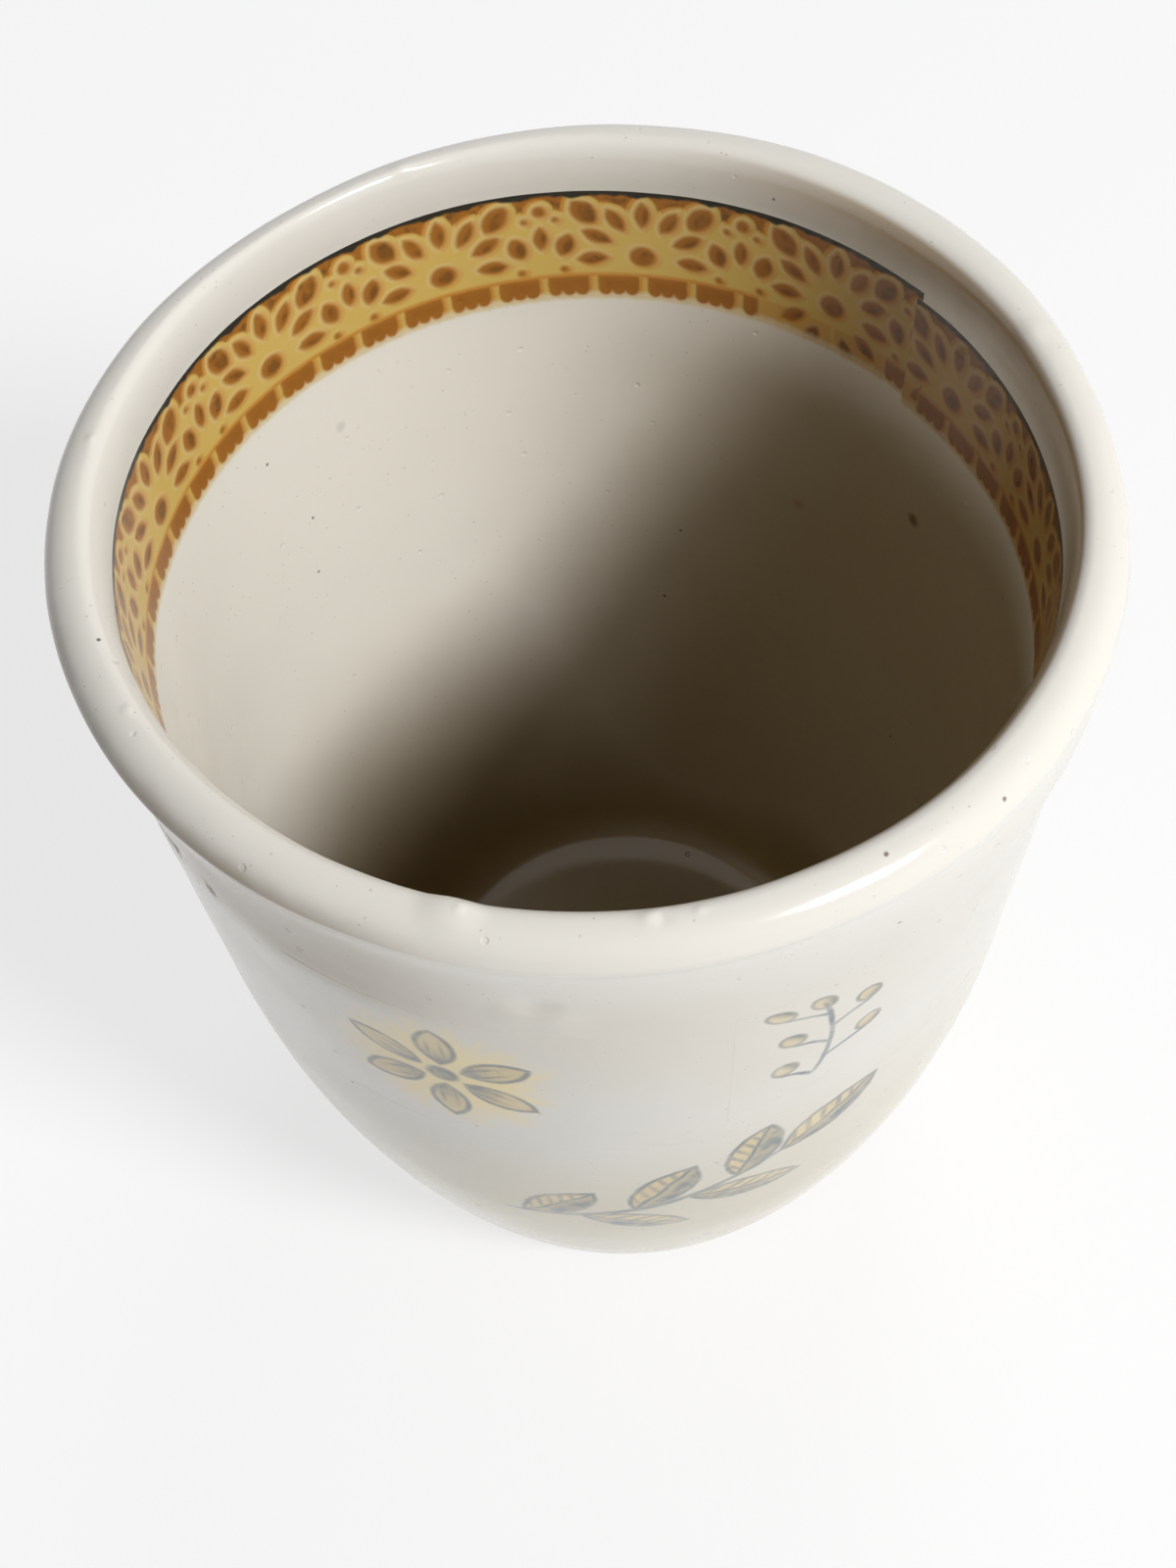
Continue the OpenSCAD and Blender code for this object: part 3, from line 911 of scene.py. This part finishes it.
def lace_inks(g, p, u, v, joint):
    """Yellow print with pale outlines and an orange halo, under brown that is dark in its middle."""
    brown, depth, dashes = lace_plate(g, u, v, joint)
    orange, near, _ = lace_plate(g, u + INK_SHIFT[0], v + INK_SHIFT[1], joint)
    outline = depth.rise(0.8, 0.15) * v.rise(-1.6, -0.6)
    colour = g.mix(0.6 * outline.most(0.5 * g.noise(p, 3)), LACE_YELLOW, LACE_PALE)
    halo = near.rise(0.45, 0.0) * v.rise(6.4, 5.6)
    colour = g.mix((0.8 * orange).most(0.45 * halo), colour, LACE_ORANGE)
    middle = near.rise(-0.15, -0.6) * g.noise(p, 1.5).rise(0.25, 0.6)
    ink = g.mix(middle * (1 - 0.75 * dashes) * 0.9, LACE_BROWN, LACE_DARK)
    colour = g.mix(brown * (0.97 - 0.12 * g.noise(p, 0.7, detail=3)), colour, ink)
    thread = abs(v + dash_drop - 0.25).rise(0.4, 0.05) * (1 - joint)
    return g.mix(0.8 * thread * (1 - 0.5 * dashes), colour, LACE_ORANGE), brown, dashes


def lace_finish(name, joint_from, joint_to):
    """Lace printed in two inks that don't quite meet, whose joint's flower has petals all round.
    A smeared dark line runs along the top and a cream fringe below, over clear film. The right side is
    darkened as painted shade."""
    made, g = material(name)
    p = g.place()
    u, v = g.print_place()
    along = g.join(u, 0.0)
    joint = u.rise(joint_from - 0.3, joint_from + 0.3) * u.rise(joint_to + 0.3, joint_to - 0.3)
    colour, brown, dashes = lace_inks(g, p, u, v, joint)
    line = line_z - 0.5 * g.noise(along, 2.6).rise(0.35, 0.75)
    smear = 0.5 * v.rise(5.1, 5.7) * g.noise(g.join(u, v), 1.3).rise(0.5, 0.7) * brown
    colour = g.mix(smear.most(v.rise(line - 0.1, line + 0.25)), colour, LINE_INK)
    ragged = v + 0.5 * g.noise(along, 1.1, detail=3)
    fringe = ragged.rise(foot_z + 1.0, foot_z + 0.2) * (1 - dashes)
    colour = g.mix(0.75 * fringe, colour, FRINGE_CREAM)
    # Painted shade: the lace darkens towards the right side, which lies in shadow
    shade_on_right = 0.82 * g.parts(p)[0].rise(6, 36)
    colour = g.mix(shade_on_right, colour, g.mix(1.0, colour, LACE_PAINTED_SHADE, "MULTIPLY"))
    clear = ragged.rise(foot_z + 0.1, foot_z - 0.5) * (1 - dashes)
    colour = g.mix(clear, colour, glaze_colour(g, p, inside_with_shade=True))
    g.finish(colour, 0.14 + 0.1 * g.noise(p, 2), 0.02 * brown + glaze_bump(g, p))
    return made


# Leafy transfers, in grey line and ochre wash with soft edges
GREY_INK = (0.13, 0.165, 0.185, 1)
OCHRE_INK = (0.55, 0.43, 0.22, 1)
PALE_WASH = (0.80, 0.64, 0.30, 1)
FILM_ROUGHNESS = 0.12
# Distances at which a fill starts and is full
FILL_EDGE = 0.1, -0.4


def soft_print(g, p, line, fill, shade, wash=None):
    """Colour of the wall under a print: a pale wash, an ochre fill, then grey shade and line."""
    colour = glaze_colour(g, p)
    patchy = g.noise(p, 3.5, 3, 0.6).rise(0.3, 0.7)
    blotchy = g.noise(p, 1.6, 3).rise(0.3, 0.7)
    if wash is not None:
        colour = g.mix(0.8 * wash, colour, PALE_WASH)
    colour = g.mix(fill * (0.5 + 0.4 * patchy), colour, OCHRE_INK)
    return g.mix((shade * (0.45 + 0.5 * blotchy)).most(line * (0.55 + 0.4 * patchy)), colour, GREY_INK)


def pencil_line(edge):
    """Soft line just inside an outline."""
    return abs(edge + 0.25).rise(0.45, 0.05)


def leaf(x, y, at, angle, length, width):
    """Line, fill and shade of a leaf that grows out of a point in a direction from the right."""
    px, py = turned(x - at[0], y - at[1], angle - 90)
    edge = lens(px, py - length / 2, length, width)
    inside = edge.rise(*FILL_EDGE)
    rung = (py - 0.9 * abs(px)) / (length / 7)
    vein = abs(rung - rung.whole()).rise(0.32, 0.08) * edge.rise(0.0, -0.5)
    line = pencil_line(edge).most(abs(px).rise(0.4, 0.1) * inside)
    return line, inside, inside * px.rise(-0.6, 1.3).most(0.75 * vein)


def together(shapes):
    """Each kind of ink of several shapes in one."""
    found = shapes[0]
    for shape in shapes[1:]:
        found = [ink.most(other) for ink, other in zip(found, shape)]
    return found


branch_r = 46.0
branch_tilt = 22.0
LEAF_STEP, LEAF_SPREAD, TIP_TURN = 6.6, 40, 19
LEAF_LENGTH, LEAF_WIDTH, LEAF_SHRINK = 12, 5.0, 0.6


def on_branch(turn):
    """Place on the branch's arc, in degrees round the arc's centre from its middle."""
    return branch_r * math.sin(math.radians(turn)), branch_r * (1 - math.cos(math.radians(turn)))


def branch_finish():
    made, g = material("branch print")
    p = g.place()
    u, v = g.print_place()
    shake = g.noise(p, 2.5) - 0.5
    x, y = turned(u + 0.6 * shake, v - 0.6 * shake, branch_tilt)
    stem = abs(round_spot(x, y - branch_r, branch_r)) + 0.02 * abs(x)
    stem_line = stem.rise(0.8, 0.25) * x.rise(-14, -10) * x.rise(18, 15)
    shapes = []
    for k in range(-2, 3):
        turn = k * LEAF_STEP
        spread = LEAF_SPREAD if k % 2 == 0 else -LEAF_SPREAD
        length = LEAF_LENGTH - LEAF_SHRINK * abs(k)
        shapes.append(leaf(x, y, on_branch(turn), turn + spread, length, LEAF_WIDTH))
    shapes.append(leaf(x, y, on_branch(TIP_TURN), TIP_TURN, LEAF_LENGTH, LEAF_WIDTH))
    line, fill, shade = together(shapes)
    wash = 0.5 * (fill + g.noise(p, 6)).rise(0.9, 1.6)
    colour = soft_print(g, p, line.most(stem_line), fill, shade, wash)
    g.finish(colour, FILM_ROUGHNESS, glaze_bump(g, p))
    return made


BLOOM_TURN = 60
BLOOM_REACH, BLOOM_LENGTH, BLOOM_WIDTH = 5.3, 7, 3.6


def blossom_finish():
    made, g = material("blossom print")
    p = g.place()
    u, v = g.print_place()
    angle = clock_angle(u, v)
    reach = (u * u + v * v) ** 0.5 + 0.4 * (g.noise(p, 2.5) - 0.5)
    side, out = along_petal(reach, angle, (angle / BLOOM_TURN).whole(), BLOOM_TURN)
    edge = lens(side, out - BLOOM_REACH, BLOOM_LENGTH, BLOOM_WIDTH)
    inside = edge.rise(*FILL_EDGE)
    line = pencil_line(edge).most(reach.rise(1.7, 1.0))
    streak = abs(abs(side) - 0.6).rise(0.35, 0.05) * reach.rise(7.2, 4.2)
    shade = inside * reach.rise(6.2, 2.4).most(streak)
    rays = g.noise(g.join(angle / 9, 0.15 * reach), 1.0) - 0.5
    wash = (reach + 9 * rays).rise(11.0, 4.5) * reach.rise(12, 10)
    g.finish(soft_print(g, p, line, inside, shade, wash), FILM_ROUGHNESS, glaze_bump(g, p))
    return made


SPRIG_BUDS, SPRIG_SPREAD, SPRIG_HEIGHT = 6, 48, 14
BUD_REACH, BUD_STRETCH, BUD_R = 4.7, 1.15, 1.25


def sprig_finish():
    made, g = material("sprig print")
    p = g.place()
    u, v = g.print_place()
    shake = 0.5 * (g.noise(p, 3) - 0.5)
    bent = u + 0.025 * v * v - 0.6
    line = abs(bent + shake).rise(0.42, 0.08) * v.rise(-7.4, -6.2) * v.rise(7.4, 6.4)
    buds = []
    for k in range(SPRIG_BUDS):
        hand = 1 if k % 2 == 0 else -1
        on_tip = k == SPRIG_BUDS - 1
        height = SPRIG_HEIGHT * (k / (SPRIG_BUDS - 1) - 0.5)
        x, y = turned(bent, v - height, 0 if on_tip else hand * SPRIG_SPREAD)
        if not on_tip:
            curved = x + hand * 0.06 * y * y + shake
            line = line.most(abs(curved).rise(0.38, 0.06) * y.rise(-0.1, 0.3) * y.rise(4.2, 3.6))
        bud = round_spot(x * BUD_STRETCH, y - (0 if on_tip else BUD_REACH), BUD_R)
        inside = bud.rise(0.25, -0.3)
        buds.append((abs(bud + 0.1).rise(0.35, 0.05), inside, inside * x.rise(-0.3, 0.9)))
    bud_line, fill, shade = together(buds)
    colour = soft_print(g, p, line.most(0.8 * bud_line), fill, shade)
    g.finish(colour, FILM_ROUGHNESS, glaze_bump(g, p))
    return made


def dress(piece, finish, slot, *nodes):
    piece.data.materials.clear()
    piece.data.materials.append(finish)
    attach(piece, "root")
    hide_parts(*nodes)


dress(clay_pot, clay_finish(), "bare_clay", "clay_body")
dress(outside_coat, glaze_finish("glaze outside", False), "glaze", "outside_glaze")
dress(inside_coat, glaze_finish("glaze inside", True), "glaze", "inside_glaze")
dress(lace_long, lace_finish("lace of the long strip", -7.4, 6.4), "yellow_ink",
    "lace_ground_long", "lace_print_long", "lace_line_long")
dress(lace_short, lace_finish("lace of the short strip", -11.0, -4.0), "yellow_ink",
    "lace_ground_short", "lace_print_short", "lace_line_short")
dress(branch_film, branch_finish(), "grey_ink", "branch_outline", "branch_leaves")
dress(blossom_film, blossom_finish(), "pale_wash", "blossom_wash", "blossom_petals", "blossom_outline")
dress(sprig_film, sprig_finish(), "ochre_ink", "sprig_outline", "sprig_buds")


# Camera, where the photograph was taken from
CAMERA_AT = (-0.86, -122.0, 236.2)
CAMERA_PITCH, CAMERA_YAW, CAMERA_ROLL = 56.36, -0.45, -3.28
CAMERA_LENS, SENSOR_WIDTH = 54, 36
pitch, yaw, roll = (math.radians(a) for a in (CAMERA_PITCH, CAMERA_YAW, CAMERA_ROLL))
ahead = Vector((math.sin(yaw) * math.cos(pitch), math.cos(yaw) * math.cos(pitch), -math.sin(pitch)))
right = ahead.cross(Vector((0, 0, 1))).normalized()
above = right.cross(ahead)
camera_x = math.cos(roll) * right + math.sin(roll) * above
camera_y = math.cos(roll) * above - math.sin(roll) * right
camera = bpy.data.objects.new("camera", bpy.data.cameras.new("camera"))
bpy.context.scene.collection.objects.link(camera)
camera.data.lens = CAMERA_LENS
camera.data.sensor_width = SENSOR_WIDTH
camera.data.clip_start = 0.01
facing = Matrix((camera_x, camera_y, -ahead)).transposed()
camera.matrix_world = Matrix.Translation(Vector(CAMERA_AT) * MM) @ facing.to_4x4()
bpy.context.scene.camera = camera

# Floor, lamps and sky, in metres
FLOOR_SIZE = 6.0
FLOOR_GLOW = 0.72
FLOOR_WHITE = (0.92, 0.92, 0.92, 1)
WHITE = (1, 1, 1, 1)
SKY_DIM = (0.27, 0.27, 0.275, 1)
SKY_BRIGHT = (0.52, 0.53, 0.54, 1)
SKY_TOP = (0.06, 0.06, 0.062, 1)
LAMP_AIM = Vector((0, 0, 0.06))
bpy.ops.object.select_all(action="DESELECT")
bpy.ops.mesh.primitive_plane_add(size=FLOOR_SIZE)
floor = bpy.context.object
floor.name = "floor"


def seen_plainly(g):
    """1 for rays from the camera, and for those that a mirror or glass sends on."""
    rays = [g.add("ShaderNodeLightPath", output=name)
        for name in ("Is Camera Ray", "Is Glossy Ray", "Is Transmission Ray")]
    return rays[0].most(rays[1]).most(rays[2])


def floor_finish():
    made, g = material("white floor")
    white = g.add("ShaderNodeBsdfDiffuse", None, {"Color": FLOOR_WHITE})
    glow = g.add("ShaderNodeEmission", None, {"Color": WHITE, "Strength": 1.0})
    share = FLOOR_GLOW * seen_plainly(g)
    floor_shader = g.add("ShaderNodeMixShader", None, {0: share, 1: white, 2: glow})
    g.add("ShaderNodeOutputMaterial", None, {"Surface": floor_shader})
    return made


floor.data.materials.append(floor_finish())


def sky():
    """Soft light from all round, brighter from the right front and dim overhead."""
    world = bpy.data.worlds.new("studio")
    bpy.context.scene.world = world
    world.use_nodes = True
    g = Graph(world.node_tree)
    x, y, height = g.parts(g.add("ShaderNodeTexCoord", output="Generated"))
    low = height.rise(0.6, 0.15)
    towards = (0.8 * x - 0.6 * y).rise(-0.9, 0.7)
    light = g.mix(low, SKY_TOP, g.mix(towards, SKY_DIM, SKY_BRIGHT))
    colour = g.mix(seen_plainly(g), light, WHITE)
    shader = g.add("ShaderNodeBackground", None, {"Color": colour, "Strength": 1.0})
    g.add("ShaderNodeOutputWorld", None, {"Surface": shader})


sky()


def lamp(name, direction, elevation, distance, size, watts, mirrored=True):
    data = bpy.data.lights.new(name, "AREA")
    data.shape = "DISK"
    data.size = size
    data.energy = watts
    made = bpy.data.objects.new(name, data)
    bpy.context.scene.collection.objects.link(made)
    level = math.cos(math.radians(elevation))
    side = math.radians(direction)
    way = Vector((math.cos(side) * level, math.sin(side) * level, math.sin(math.radians(elevation))))
    made.visible_glossy = mirrored
    made.location = way * distance + LAMP_AIM
    made.rotation_euler = way.to_track_quat("Z", "Y").to_euler()


lamp("key lamp", direction=-40, elevation=44, distance=1.2, size=0.30, watts=12.6)
lamp("back lamp", direction=70, elevation=60, distance=1.2, size=0.45, watts=3.0, mirrored=False)

bpy.context.scene.view_settings.view_transform = "Standard"
